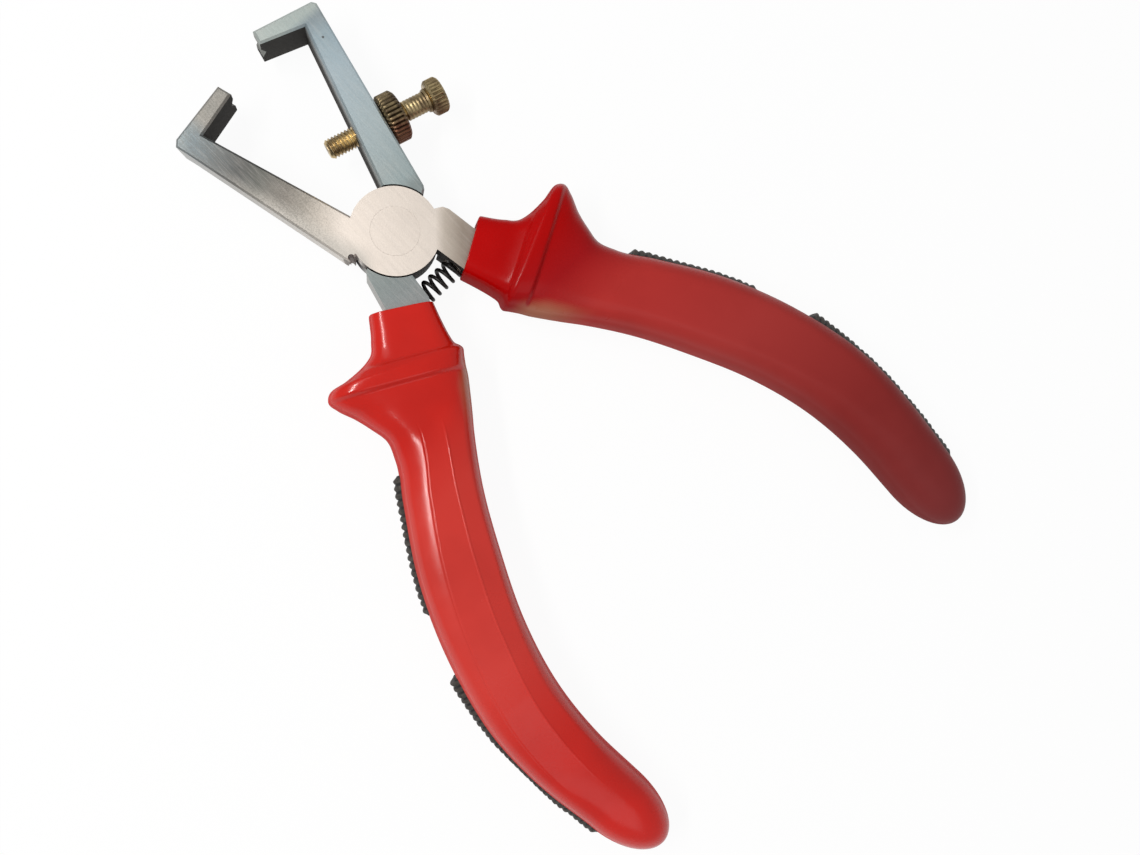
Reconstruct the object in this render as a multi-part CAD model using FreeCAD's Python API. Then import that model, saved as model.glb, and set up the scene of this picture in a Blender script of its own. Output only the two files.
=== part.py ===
import FreeCAD, Part
import math
import os

# Adjustable end wire stripper, lying on its back with the jaws towards +Y.
# Origin: the pivot axis at the joint's back face.  +Z points out of the front face.
# All sizes are in millimetres.

V = FreeCAD.Vector

# Joint of the two forged halves
joint_thickness = 9.5
mid_z = joint_thickness / 2
joint_radius = 8.45
joint_clearance = 0.3
lap_gap = 0.06
running_gap = 0.04
edge_break = 0.4

# Rivet, ground flush on both sides
rivet_radius = 2.6
rivet_head_radius = 4.6
rivet_head_depth = 1.3

# Adjusting screw, its axis square to the outer side of the upper arm
screw_angle = 14.4
screw_start = V(2.05, 19.95, mid_z)
screw_length = 24.7
thread_radius = 1.97
thread_length = 16.4
neck_radius = 1.95
collar_radius = 2.4
collar_length = 0.8
head_radius = 3.5
head_length = 2.9
thread_chamfer = 0.5
knob_chamfer = 0.45

# Knurled lock nut
nut_radius = 4.9
nut_length = 3.8
nut_from_end = 12.0

# Return spring between the shanks
spring_y = -11.9
wire_radius = 0.31
wire_sides = 5
coil_radius = 1.85
coil_count = 5.6
pocket_radius = coil_radius + wire_radius + 0.3
pocket_depth = 1.2
wall_a_x = 4.1
wall_b_x = -3.8
end_gap = 0.06

# Wire notch in the jaw tips
notch_depth = 0.8
notch_half_height = 1.9

# Moulded grips
body_steps = 20
neck_steps = 4
guard_steps = 7
tang_half_thickness = 3.3
panel_height = 8.05
section_points = 16
pad_depth = 2.2
pad_half_height = 4.9
pad_step = 0.85
pad_swell = {"upper": 0.45, "lower": 0.8}
swell_length = 9.0
rib_pitch = 2.05
rib_depth = 0.7
rib_land = 0.34

# Plan points of the left jaw, which belongs to the front half.
# Its outer side leans in towards the back by the forging draft.
jaw_a_plan = [
    (-2.6, 2.6), (-4.25, 7.9), (-13.3, 35.5), (-4.4, 37.65), (-5.15, 40.2),
    (-17.3, 37.95), (-18.3, 37.0), (-17.7, 34.7), (-10.5, 2.6), (-10.1, 1.45), (-4.0, 1.45),
]
jaw_a_leaning = (5, 6, 7, 8, 9)
jaw_a_draft = 0.6
notch_a_centre = (-9.35, 1.85)
notch_a_radius = 0.6

# Plan points of the upper jaw, which belongs to the back half
jaw_b_plan = [
    (1.6, 1.0), (4.0, 7.5), (14.25, 38.2), (5.8, 41.0), (6.45, 43.5),
    (18.3, 40.8), (18.85, 40.0), (9.95, 2.7), (9.5, 2.0), (8.3, 1.2), (3.0, 1.0),
]

# Plan points of the shanks that run into the grips
shank_a_plan = [
    (2.0, -3.0), (3.35, -7.4), (4.55, -14.1), (5.6, -16.0), (12.45, -11.9),
    (11.25, -9.5), (10.3, -3.7), (9.7, -2.6), (8.4, -1.9), (5.0, -1.0),
]
shank_b_plan = [
    (-2.0, -3.0), (-3.35, -7.4), (-4.0, -13.0), (-5.6, -16.0), (-12.45, -11.9),
    (-11.15, -8.4), (-9.5, -2.3), (-8.3, -1.3), (-5.0, -1.0),
]

# The grip on the right, as rows of inner edge, outer edge, half thickness and squareness.
# The left one is its mirror image.
neck_rows = [
    ((3.8, -14.1), (13.9, -8.3), 6.2, 3.4),
    ((5.2, -18.1), (16.9, -12.0), 6.6, 3.2),
    ((6.5, -22.2), (20.4, -15.7), 7.4, 2.8),
    ((5.9, -24.0), (21.6, -17.3), 8.8, 2.5),
]
body_rows = [
    ((5.9, -24.0), (21.6, -17.3), 8.8, 2.5),
    ((8.3, -28.4), (24.4, -21.3), 8.1, 2.4),
    ((15.0, -36.9), (28.6, -29.9), 8.1, 2.3),
    ((20.2, -44.1), (33.6, -37.1), 8.4, 2.3),
    ((27.7, -57.4), (42.1, -50.2), 8.75, 2.3),
    ((33.4, -69.7), (48.4, -64.4), 8.8, 2.3),
    ((37.5, -84.0), (52.8, -81.6), 8.5, 2.3),
    ((38.7, -96.5), (53.15, -96.3), 7.95, 2.3),
    ((38.4, -107.0), (52.3, -107.5), 7.4, 2.3),
    ((38.7, -113.5), (50.6, -114.3), 6.5, 2.3),
    ((40.3, -118.1), (48.2, -118.5), 4.7, 2.2),
    ((42.5, -120.0), (46.3, -120.2), 2.6, 2.0),
]
grip_end = (44.4, -120.6)
guard_rows = [
    ((15.6, -13.6), (20.5, -28.0), 7.0, 2.6),
    ((19.6, -14.6), (25.4, -28.2), 8.4, 2.8),
    ((24.4, -14.4), (28.3, -24.0), 7.9, 2.9),
    ((27.5, -14.1), (29.6, -18.3), 6.9, 2.9),
    ((29.1, -13.7), (30.6, -16.5), 6.0, 2.7),
    ((29.9, -14.1), (30.7, -15.6), 5.0, 2.4),
]
guard_end = (30.65, -14.8)

# Centre line and half width of the steel tang inside the right grip
tang_rows = [
    ((8.9, -13.9), 3.6), ((13.6, -21.0), 3.6), ((22.2, -33.4), 3.4),
    ((35.0, -53.9), 3.1), ((45.1, -82.7), 2.7), ((46.1, -97.0), 2.4),
]

# Where the ribbed pads start and stop along the outer edge
pad_limits = {"upper": ((31.2, -33.2), (45.4, -55.8)), "lower": ((50.4, -68.3), (52.9, -108.6))}


def prism(plan, low, high):
    """Upright block over a closed outline of straight lines."""
    corners = [V(x, y, low) for x, y in plan]
    outline = Part.makePolygon(corners + corners[:1])
    return Part.Face(outline).extrude(V(0, 0, high - low))


def broken_prism(plan, size, leaning=(), draft=0.0):
    """Full-thickness block with broken edges; the leaning corners move in at the back."""
    front = [V(x, y, joint_thickness) for x, y in plan]
    back = [V(x + (draft if k in leaning else 0), y, 0) for k, (x, y) in enumerate(plan)]
    outlines = [Part.makePolygon(points + points[:1]) for points in (back, front)]
    block = Part.makeLoft(outlines, True, True)
    flat = [e for e in block.Edges if abs(e.BoundBox.ZMax - e.BoundBox.ZMin) < 0.01]
    return block.makeChamfer(size, flat)


def disc(radius, low, high, x=0.0, y=0.0):
    """Upright cylinder between two heights."""
    return Part.makeCylinder(radius, high - low, V(x, y, low), V(0, 0, 1))


def turned(profile, base, axis):
    """Solid of revolution from (distance along the axis, radius) pairs."""
    points = [V(r, 0, s) for s, r in profile]
    points = [V(0, 0, profile[0][0])] + points + [V(0, 0, profile[-1][0])]
    face = Part.Face(Part.makePolygon(points + points[:1]))
    solid = face.revolve(V(0, 0, 0), V(0, 0, 1), 360)
    solid.Placement = FreeCAD.Placement(base, FreeCAD.Rotation(V(0, 0, 1), axis))
    return solid


def screw_direction():
    """Unit vector from the screw's threaded end to its head."""
    a = math.radians(screw_angle)
    return V(math.cos(a), -math.sin(a), 0)


def along_screw(distance):
    """Point on the screw's axis at a distance from the threaded end."""
    return screw_start + screw_direction() * distance


def curve_through(points):
    """Smooth open curve through plan points."""
    spline = Part.BSplineCurve()
    spline.interpolate([V(x, y, 0) for x, y in points])
    return spline


def section(row, side):
    """Closed rounded outline across a grip, upright between its inner and outer edge."""
    (ix, iy), (ox, oy), half_thickness, squareness = row
    inner = V(side * ix, iy, mid_z)
    outer = V(side * ox, oy, mid_z)
    across = (outer - inner).normalize()
    centre = (inner + outer) * 0.5
    half_width = (outer - inner).Length / 2
    points = []
    for k in range(section_points):
        angle = 2 * math.pi * k / section_points
        c = math.cos(angle)
        s = math.sin(angle)
        u = half_width * math.copysign(abs(c) ** (2 / squareness), c)
        w = half_thickness * math.copysign(abs(s) ** (2 / squareness), s)
        points.append(centre + across * u + V(0, 0, w))
    return points


def flat_face(corners):
    """Flat face inside straight edges."""
    return Part.Face(Part.makePolygon(corners + corners[:1]))


def blended_rows(rows, steps):
    """More rows on the smooth curves through the given ones, in equal steps."""
    inner = Part.BSplineCurve()
    inner.interpolate([V(ix, iy, half_thickness) for (ix, iy), o, half_thickness, q in rows])
    outer = Part.BSplineCurve()
    outer.interpolate([V(ox, oy, squareness) for i, (ox, oy), h, squareness in rows])
    result = []
    for k in range(steps + 1):
        a = inner.value(inner.FirstParameter + (inner.LastParameter - inner.FirstParameter) * k / steps)
        b = outer.value(outer.FirstParameter + (outer.LastParameter - outer.FirstParameter) * k / steps)
        result.append(((a.x, a.y), (b.x, b.y), a.z, b.z))
    return result


def loft(rows, side, steps, tip=None):
    """Solid through a run of sections in flat triangles, closed at a tip where one is given."""
    rings = [section(row, side) for row in blended_rows(rows, steps)]
    faces = [flat_face(rings[0])]
    for near, far in zip(rings, rings[1:]):
        for k in range(section_points):
            faces.append(flat_face([near[k - 1], near[k], far[k]]))
            faces.append(flat_face([near[k - 1], far[k], far[k - 1]]))
    if tip is None:
        faces.append(flat_face(rings[-1]))
    else:
        point = V(side * tip[0], tip[1], mid_z)
        faces += [flat_face([rings[-1][k - 1], rings[-1][k], point]) for k in range(section_points)]
    solid = Part.Solid(Part.Shell(faces))
    if solid.Volume < 0:
        solid.reverse()
    return solid


def tang(side):
    """Tapering steel bar that follows the grip's curve."""
    centre = curve_through([(side * x, y) for (x, y), w in tang_rows])
    left = []
    right = []
    for (x, y), w in tang_rows:
        here = V(side * x, y, 0)
        t = centre.tangent(centre.parameter(here))[0]
        normal = V(-t.y, t.x, 0)
        left.append(here + normal * w)
        right.append(here - normal * w)
    right.reverse()
    side_one = Part.BSplineCurve()
    side_one.interpolate(left)
    side_two = Part.BSplineCurve()
    side_two.interpolate(right)
    edges = [side_one.toShape(), Part.makeLine(left[-1], right[0]), side_two.toShape()]
    edges.append(Part.makeLine(right[-1], left[0]))
    bar = Part.Face(Part.Wire(edges)).extrude(V(0, 0, 2 * tang_half_thickness))
    bar.translate(V(0, 0, mid_z - tang_half_thickness))
    return bar


def tip_notch(tip_inner, tip_outer, root_direction):
    """Wedge that cuts the wire notch across a jaw tip."""
    inner = V(tip_inner[0], tip_inner[1], mid_z)
    outer = V(tip_outer[0], tip_outer[1], mid_z)
    run = (outer - inner).normalize()
    start = inner - run * 2
    back = V(root_direction[0], root_direction[1], 0).normalize()
    up = V(0, 0, notch_half_height)
    corners = [start + back * notch_depth, start + up - back * 0.02, start + up - back * 3]
    corners += [start - up - back * 3, start - up - back * 0.02]
    return Part.Face(Part.makePolygon(corners + corners[:1])).extrude(run * ((outer - inner).Length + 4))


def spring_pocket(side):
    """Blind hole in a shank that takes one end of the spring."""
    if side > 0:
        return Part.makeCylinder(pocket_radius, 3 + pocket_depth, V(wall_a_x - 3, spring_y, mid_z), V(1, 0, 0))
    return Part.makeCylinder(pocket_radius, 3 + pocket_depth, V(wall_b_x + 3, spring_y, mid_z), V(-1, 0, 0))


def rivet_profile(gap):
    """Rivet outline from the back face up, grown by a running gap."""
    neck = rivet_radius + gap
    flare = rivet_head_radius + gap
    return [
        (0, flare), (rivet_head_depth, neck),
        (joint_thickness - rivet_head_depth, neck), (joint_thickness, flare),
    ]


def front_half():
    """Left jaw, front lap of the joint and the right shank with its tang, forged in one."""
    jaw = broken_prism(jaw_a_plan, edge_break, jaw_a_leaning, jaw_a_draft)
    shank = prism(shank_a_plan, 0, joint_thickness)
    body = shank.fuse([jaw, tang(1)])
    body = body.cut(disc(joint_radius + joint_clearance, -1, mid_z + lap_gap / 2))
    body = body.fuse(disc(joint_radius, mid_z + lap_gap / 2, joint_thickness))
    cuts = [
        disc(notch_a_radius, -1, joint_thickness + 1, notch_a_centre[0], notch_a_centre[1]),
        turned(rivet_profile(running_gap), V(0, 0, 0), V(0, 0, 1)),
        spring_pocket(1),
        tip_notch(jaw_a_plan[3], jaw_a_plan[4], (-1, -0.2)),
    ]
    return body.cut(cuts).removeSplitter()


def back_half():
    """Upper jaw, back lap of the joint and the left shank with its tang, forged in one."""
    jaw = broken_prism(jaw_b_plan, edge_break)
    shank = prism(shank_b_plan, 0, joint_thickness)
    body = shank.fuse([jaw, tang(-1)])
    body = body.cut(disc(joint_radius + joint_clearance, mid_z - lap_gap / 2, joint_thickness + 1))
    body = body.fuse(disc(joint_radius, 0, mid_z - lap_gap / 2))
    cuts = [
        turned(rivet_profile(0), V(0, 0, 0), V(0, 0, 1)),
        spring_pocket(-1),
        tip_notch(jaw_b_plan[3], jaw_b_plan[4], (1, -0.28)),
        Part.makeCylinder(thread_radius + running_gap, 20, along_screw(0), screw_direction()),
    ]
    return body.cut(cuts).removeSplitter()


def pivot_rivet():
    """Rivet with a flared head at each end."""
    return turned(rivet_profile(0), V(0, 0, 0), V(0, 0, 1))


def adjusting_screw():
    """Thumb screw with a plain neck, a small collar and a round head."""
    collar_at = screw_length - head_length - collar_length
    head_at = screw_length - head_length
    profile = [
        (0, thread_radius - thread_chamfer), (thread_chamfer, thread_radius),
        (thread_length, thread_radius), (thread_length + 0.2, neck_radius),
        (collar_at, neck_radius), (collar_at, collar_radius),
        (head_at, collar_radius), (head_at, head_radius - knob_chamfer),
        (head_at + knob_chamfer, head_radius), (screw_length - knob_chamfer, head_radius),
        (screw_length, head_radius - knob_chamfer),
    ]
    return turned(profile, screw_start, screw_direction())


def lock_nut():
    """Round nut that locks the screw against the upper arm."""
    profile = [
        (0, nut_radius - knob_chamfer), (knob_chamfer, nut_radius),
        (nut_length - knob_chamfer, nut_radius), (nut_length, nut_radius - knob_chamfer),
    ]
    blank = turned(profile, along_screw(nut_from_end), screw_direction())
    bore = Part.makeCylinder(thread_radius + running_gap, 30, screw_start, screw_direction())
    return blank.cut(bore)


def return_spring():
    """Coil spring lying across the gap between the shanks."""
    low = wall_b_x - pocket_depth + wire_radius + end_gap
    high = wall_a_x + pocket_depth - wire_radius - end_gap
    helix = Part.makeHelix((high - low) / coil_count, high - low, coil_radius)
    corners = []
    for k in range(wire_sides):
        a = 2 * math.pi * k / wire_sides
        corners.append(V(coil_radius + wire_radius * math.cos(a), 0, wire_radius * math.sin(a)))
    ring = Part.makePolygon(corners + corners[:1])
    coil = Part.Wire(helix.Edges).makePipeShell([ring], True, True)
    coil.Placement = FreeCAD.Placement(V(low, spring_y, mid_z), FreeCAD.Rotation(V(0, 0, 1), V(1, 0, 0)))
    return coil


def outer_edge(side):
    """Curve along the grip's outer edge in plan."""
    return curve_through([(side * ox, oy) for inner, (ox, oy), h, q in body_rows[:-2]])


def beside_edge(side, edge, u, offset):
    """Point beside the outer edge, away from the tool when the offset is positive."""
    tangent = edge.tangent(u)[0]
    normal = V(-tangent.y, tangent.x, 0).normalize()
    if normal.x * side < 0:
        normal = normal * -1
    return edge.value(u) + normal * offset


def pad_span(side, name):
    """Outer edge of a grip, with the parameters where a pad starts and its length."""
    edge = outer_edge(side)
    first, last = [edge.parameter(V(side * x, y, 0)) for x, y in pad_limits[name]]
    return edge, first, edge.length(first, last)


def standing_out(name, run):
    """How far a pad stands out of the grip: most at its upper end, then even."""
    return pad_step + pad_swell[name] * max(0.0, 1 - run / swell_length)


def pad_block(side, name, outline):
    """Upright block between a pad's floor in the grip and an outline on its outer side."""
    edge, first, length = pad_span(side, name)
    stations = [edge.parameterAtDistance(length * k / 6, first) for k in range(7)]
    floor = Part.BSplineCurve()
    floor.interpolate([beside_edge(side, edge, u, -pad_depth) for u in stations])
    ends = floor.toShape().Vertexes
    outside = Part.makePolygon([ends[-1].Point] + outline + [ends[0].Point])
    block = Part.Face(Part.Wire([floor.toShape()] + outside.Edges)).extrude(V(0, 0, 2 * pad_half_height))
    block.translate(V(0, 0, mid_z - pad_half_height))
    return block


def pad_seat(side, name):
    """Recess in the grip that holds a pad."""
    edge, first, length = pad_span(side, name)
    outline = []
    for k in range(6, -1, -1):
        u = edge.parameterAtDistance(length * k / 6, first)
        outline.append(beside_edge(side, edge, u, 3))
    return pad_block(side, name, outline)


def ribbed_pad(side, name):
    """Soft insert with ribs across the outer edge of a grip."""
    edge, first, length = pad_span(side, name)
    count = int(length / rib_pitch)
    pitch = length / count
    outline = []
    for k in range(count):
        for part_way, depth in ((0.5 - rib_land, 0), (0.5 + rib_land, 0), (1, rib_depth)):
            run = pitch * (k + part_way)
            if k == count - 1 and part_way == 1:
                continue
            u = edge.parameterAtDistance(run, first)
            outline.append(beside_edge(side, edge, u, standing_out(name, run) - depth))
    outline.reverse()
    return pad_block(side, name, outline)


def grip(side, steel, seats):
    """Red sleeve with its thumb guard and flat panels, hollowed for the steel and the pads."""
    body = loft(body_rows, side, body_steps, grip_end)
    plan = [(side * x, y) for x, y in ((4, -27), (30, -27), (62, -60), (62, -130), (4, -130))]
    above = prism(plan, mid_z + panel_height, mid_z + 20)
    below = prism(plan, mid_z - 20, mid_z - panel_height)
    neck = loft(neck_rows, side, neck_steps)
    guard = loft(guard_rows, side, guard_steps, guard_end)
    outside = body.cut([above, below]).fuse([neck, guard])
    return outside.cut([steel] + seats).removeSplitter()


def save(name, shape):
    """Write one named solid."""
    solids = shape.Solids
    shape = solids[0] if len(solids) == 1 else max(solids, key=lambda s: s.Volume)
    shape.exportStep(os.path.join("parts", name + ".step"))
    print(name, len(solids), round(shape.Volume, 1), shape.isValid(), len(shape.Faces))


def build():
    os.makedirs("parts", exist_ok=True)
    halves = {1: front_half(), -1: back_half()}
    names = {1: "right", -1: "left"}
    save("front_half", halves[1])
    save("back_half", halves[-1])
    save("pivot_rivet", pivot_rivet())
    save("adjusting_screw", adjusting_screw())
    save("lock_nut", lock_nut())
    save("return_spring", return_spring())
    for side in (1, -1):
        seats = [pad_seat(side, name) for name in pad_limits]
        save(names[side] + "_grip", grip(side, halves[side], seats))
        for name in pad_limits:
            save(names[side] + "_" + name + "_pad", ribbed_pad(side, name))


build()
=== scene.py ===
import math

import bpy
import numpy as np
from mathutils import Matrix, Vector


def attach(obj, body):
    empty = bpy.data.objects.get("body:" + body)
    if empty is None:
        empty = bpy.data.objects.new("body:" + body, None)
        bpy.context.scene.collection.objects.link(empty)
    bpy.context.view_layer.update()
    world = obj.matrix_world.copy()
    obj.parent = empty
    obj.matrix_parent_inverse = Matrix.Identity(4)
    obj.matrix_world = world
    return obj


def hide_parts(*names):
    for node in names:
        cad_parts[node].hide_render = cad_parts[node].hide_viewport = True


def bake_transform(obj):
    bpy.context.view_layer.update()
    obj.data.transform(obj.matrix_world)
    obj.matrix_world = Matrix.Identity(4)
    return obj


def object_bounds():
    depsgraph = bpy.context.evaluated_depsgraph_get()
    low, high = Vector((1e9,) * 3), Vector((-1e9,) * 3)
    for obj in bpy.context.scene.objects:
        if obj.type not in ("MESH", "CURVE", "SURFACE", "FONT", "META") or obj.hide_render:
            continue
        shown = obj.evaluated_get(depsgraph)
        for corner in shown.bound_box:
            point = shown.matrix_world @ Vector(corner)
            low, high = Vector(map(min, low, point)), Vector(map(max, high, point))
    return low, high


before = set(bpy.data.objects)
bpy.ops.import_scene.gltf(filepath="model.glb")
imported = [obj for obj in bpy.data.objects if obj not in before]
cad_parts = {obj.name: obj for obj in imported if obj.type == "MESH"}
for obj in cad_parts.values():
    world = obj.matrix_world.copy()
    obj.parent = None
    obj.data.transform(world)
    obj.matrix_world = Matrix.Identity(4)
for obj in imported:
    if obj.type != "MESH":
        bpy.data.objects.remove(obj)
cad_box = [[float(v) for v in corner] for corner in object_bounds()]

# Sizes are in millimetres, and a mesh's points become metres as it is made
MM = 0.001

# Joint: its front face, with its back face at 0, and its middle, where every piece is centred
FACE_Z = 9.5
MID_Z = FACE_Z / 2

# Grip sections from the mouth to the end dome, right side: inner edge, outer edge, half thickness,
# squareness.  They fan round the thumb guard, whose tip is the outer edge of the seventh.
GRIP_ROWS = np.array([
    (3.8, -14.1, 13.9, -8.3, 6.2, 4.8),
    (5.2, -18.1, 16.9, -12.0, 6.5, 4.7),
    (6.0, -20.9, 19.4, -14.1, 6.8, 4.5),
    (6.2, -22.5, 22.6, -14.5, 7.2, 4.2),
    (5.75, -23.6, 26.0, -14.3, 7.6, 3.9),
    (5.7, -24.4, 28.9, -13.8, 7.9, 3.6),
    (6.35, -25.3, 30.6, -14.9, 7.9, 3.4),
    (7.3, -26.7, 30.4, -17.0, 7.9, 3.0),
    (8.5, -28.7, 29.2, -20.4, 7.95, 2.6),
    (10.55, -31.4, 28.3, -24.0, 8.0, 2.7),
    (12.7, -34.1, 27.8, -27.2, 8.05, 2.85),
    (15.0, -36.9, 29.2, -30.8, 8.1, 2.95),
    (20.2, -44.1, 33.6, -37.1, 8.4, 2.95),
    (27.7, -57.4, 42.1, -50.2, 8.75, 2.9),
    (33.4, -69.7, 48.4, -64.4, 8.8, 2.75),
    (37.5, -84.0, 52.8, -81.6, 8.5, 2.55),
    (38.7, -96.5, 53.15, -96.3, 7.95, 2.4),
    (38.4, -107.0, 52.3, -107.5, 7.4, 2.3),
])

# Steps of the mesh along the grip: up to the row behind the guard, from there on, and round the dome
GUARD_END_ROW = 12
GUARD_STEPS = 170
HANDLE_STEPS = 175
DOME_STEPS = 32

# Left grip's outer side: how far it stands out more than the right one's in x and in y, the runs
# along the grip over which the y part dies away, and those over which the rest does
LEFT_FLARE = 0.45
FLARE_TURN = (12.0, 34.0)
FLARE_END = (92.0, 107.0)

# Half thickness at which the faces are held flat, how much more it is at the mouth, the runs over
# which that ends, and the height over which the flat is rounded
PANEL_Z = 8.05
MOUTH_EXTRA = 0.6
MOUTH_FADE = (12.0, 22.0)
FLAT_SOFT = 0.35

# Mouth: the way into the grip, rings of the closing face as shares of its outline with their depths,
# and the depths of the outline itself and of the middle
MOUTH_INWARD = np.array([0.5, -0.87, 0.0])
MOUTH_RINGS = ((0.6, 0.25), (0.93, 0.05), (0.985, 0.12))
MOUTH_EDGE = 0.4
MOUTH_MIDDLE = 0.3

# End dome: where its middle starts and ends in plan
DOME_START = np.array([45.35, -107.25])
DOME_END = np.array([44.4, -120.58])

# Thumb guard's raised band: its rear edge in plan, its width, its heights at the front and the rear,
# the width of its front foot, where its rear foot starts and stops past the rear edge, and the
# shares of the grip's thickness over which it rises
BAND_START = np.array([8.0, -26.5])
BAND_STOP = np.array([30.5, -14.3])
BAND_WIDTH = 4.1
BAND_FRONT = 0.38
BAND_REAR = 0.85
BAND_FRONT_FOOT = 0.9
BAND_REAR_FOOT = (-0.1, 1.0)
BAND_SHOULDER = (0.35, 0.85)

# Panel borders on the left grip's front: run along the grip, and places across it as shares of the
# half width
PANEL_RUNS = np.array([24.0, 34.0, 42.0, 55.0, 68.0, 80.0, 92.0, 106.0])
PANEL_OUTER = np.array([0.275, 0.328, 0.36, 0.405, 0.445, 0.5, 0.55, 0.6])
PANEL_INNER = np.array([-0.244, -0.285, -0.32, -0.335, -0.335, -0.28, -0.23, -0.19])

# Runs over which the panel appears and dies away, its height above the sections at its borders, the
# slope past its inner border, and the slope and bend of the rounder face past its outer border
PANEL_APPEAR = (23.0, 28.0)
PANEL_FADE = (88.0, 104.0)
PANEL_PROUD = 0.04
PANEL_SLOPE = 0.3
ROUND_SLOPE = 0.235
ROUND_BEND = 0.042

# Fine groove along the outer border, fine lip along the inner one, and how far beside a border the
# columns of the mesh crowd
GROOVE_DEPTH = 0.11
GROOVE_WIDTH = 0.13
LIP_HEIGHT = 0.09
LIP_WIDTH = 0.15
CREASE = 0.4

# Ribbed pads: where they start and stop along the outer edge, their ribs, how much further they stand
# out at their upper ends, half their height, their step out of the grip, the depth between the ribs,
# the run over which the swell ends, and the side limit that keeps them in the solids' box
PAD_ENDS = {"upper": ((31.2, -33.2), (45.4, -55.8)), "lower": ((50.4, -68.3), (52.9, -108.6))}
PAD_RIBS = {"upper": 18, "lower": 31}
PAD_SWELL = {"left": {"upper": 0.4, "lower": 0.7}, "right": {"upper": 0.6, "lower": 1.0}}
PAD_HALF_HEIGHT = {"left": 2.8, "right": 4.3}
PAD_STEP = 0.92
PAD_GROOVE = 0.5
PAD_SWELL_LENGTH = 12.0
PAD_LIMIT = 54.08


def along(knots, values, t):
    """Smooth run through table rows: a cubic between neighbours, whose slope at each row is a
    weighted mean of the slopes on both sides."""
    slopes = np.gradient(values, knots, axis=0)
    k = np.clip(np.searchsorted(knots, t, side="right") - 1, 0, len(knots) - 2)
    step = (knots[k + 1] - knots[k])[:, None]
    x = ((t - knots[k]) / step[:, 0])[:, None]
    a = values[k] * (1 + 2 * x) * (1 - x) ** 2 + values[k + 1] * x * x * (3 - 2 * x)
    b = slopes[k] * x * (1 - x) ** 2 - slopes[k + 1] * x * x * (1 - x)
    return a + b * step


def ramp(x, low, high):
    """Rises smoothly from 0 at low to 1 at high."""
    t = np.clip((x - low) / (high - low), 0, 1)
    return t * t * (3 - 2 * t)


def grid_faces(rows, columns, wrap_rows=False):
    """Quads between neighbouring points of a grid of closed rows, as index rows."""
    r, c = np.meshgrid(np.arange(rows if wrap_rows else rows - 1), np.arange(columns), indexing="ij")
    r2 = (r + 1) % rows
    c2 = (c + 1) % columns
    quads = np.stack([r * columns + c, r * columns + c2, r2 * columns + c2, r2 * columns + c], -1)
    return quads.reshape(-1, 4)


def fan_faces(ring, pole, flip=False):
    """Triangles from a closed ring of indices to one pole point."""
    other = np.roll(ring, -1)
    if flip:
        return np.stack([other, ring, np.full(len(ring), pole)], -1)
    return np.stack([ring, other, np.full(len(ring), pole)], -1)


def piece(name, points, faces, body, finish, node, sharp, depth=None):
    """Mesh from millimetre points and index faces, riding on a body and standing for a CAD node.
    Edges sharper than an angle in degrees stay sharp.  Where a depth is given for each point, the
    material darkens by it: painted shade in the grooves, and on the screw a darker head and neck."""
    mesh = bpy.data.meshes.new(name)
    mesh.from_pydata((np.asarray(points) * MM).tolist(), [], [f.tolist() for f in faces])
    mesh.polygons.foreach_set("use_smooth", np.ones(len(mesh.polygons), bool))
    mesh.update()
    outward(mesh)
    mesh.set_sharp_from_angle(angle=math.radians(sharp))
    if depth is not None:
        cut = mesh.attributes.new("depth", "FLOAT", "POINT")
        cut.data.foreach_set("value", depth.astype(np.float32).ravel())
    mesh.materials.append(finish)
    thing = bpy.data.objects.new(name, mesh)
    bpy.context.scene.collection.objects.link(thing)
    if body:
        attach(thing, body)
    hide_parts(node)
    return thing


def outward(mesh):
    """Turns every face over where the closed mesh's signed volume comes out negative."""
    count = len(mesh.vertices)
    co = np.empty(count * 3, np.float32)
    mesh.vertices.foreach_get("co", co)
    co = co.reshape(-1, 3).astype(float)
    mesh.calc_loop_triangles()
    tri = np.empty(len(mesh.loop_triangles) * 3, np.int32)
    mesh.loop_triangles.foreach_get("vertices", tri)
    a, b, c = (co[tri.reshape(-1, 3)[:, k]] for k in range(3))
    if np.einsum("ij,ij->i", a, np.cross(b, c)).sum() < 0:
        mesh.flip_normals()


def from_segment(x, y, start, stop):
    """Signed distance in plan from a straight segment, positive on its left."""
    dx, dy = stop - start
    rx = x - start[0]
    ry = y - start[1]
    t = np.clip((rx * dx + ry * dy) / (dx * dx + dy * dy), 0, 1)
    return np.hypot(rx - t * dx, ry - t * dy) * np.sign(dx * ry - dy * rx)


def grip_knots():
    """Arc length along the middle of the grip's sections."""
    middle = (GRIP_ROWS[:, 0:2] + GRIP_ROWS[:, 2:4]) / 2
    return np.concatenate([[0], np.cumsum(np.hypot(*np.diff(middle, axis=0).T))])


def grip_sections(side):
    """Fine run of grip sections with the end dome, whose size falls off as a quarter ellipse.
    The left grip's outer side stands out a little more than the right one's."""
    knots = grip_knots()
    guard_end = knots[GUARD_END_ROW]
    run = np.concatenate([np.linspace(0, guard_end, GUARD_STEPS),
                          np.linspace(guard_end, knots[-1], HANDLE_STEPS)[1:]])
    rows = along(knots, GRIP_ROWS, run)
    if side < 0:
        flare = LEFT_FLARE * (1 - ramp(run, *FLARE_END))
        rows[:, 2] += flare
        rows[:, 3] += flare * (1 - ramp(run, *FLARE_TURN))
    turn = np.linspace(0, np.pi / 2, DOME_STEPS)[1:-1]
    share = np.sin(turn)[:, None]
    size = np.cos(turn)[:, None]
    middle = DOME_START + (DOME_END - DOME_START) * share
    half = (rows[-1, 2:4] - rows[-1, 0:2]) / 2 * size
    square = rows[-1, 5] + (2 - rows[-1, 5]) * share
    dome = np.concatenate([middle - half, middle + half, rows[-1, 4] * size, square], 1)
    dome_run = run[-1] + np.hypot(*(DOME_END - DOME_START)) * share[:, 0]
    return np.concatenate([run, dome_run]), np.concatenate([rows, dome])


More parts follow.
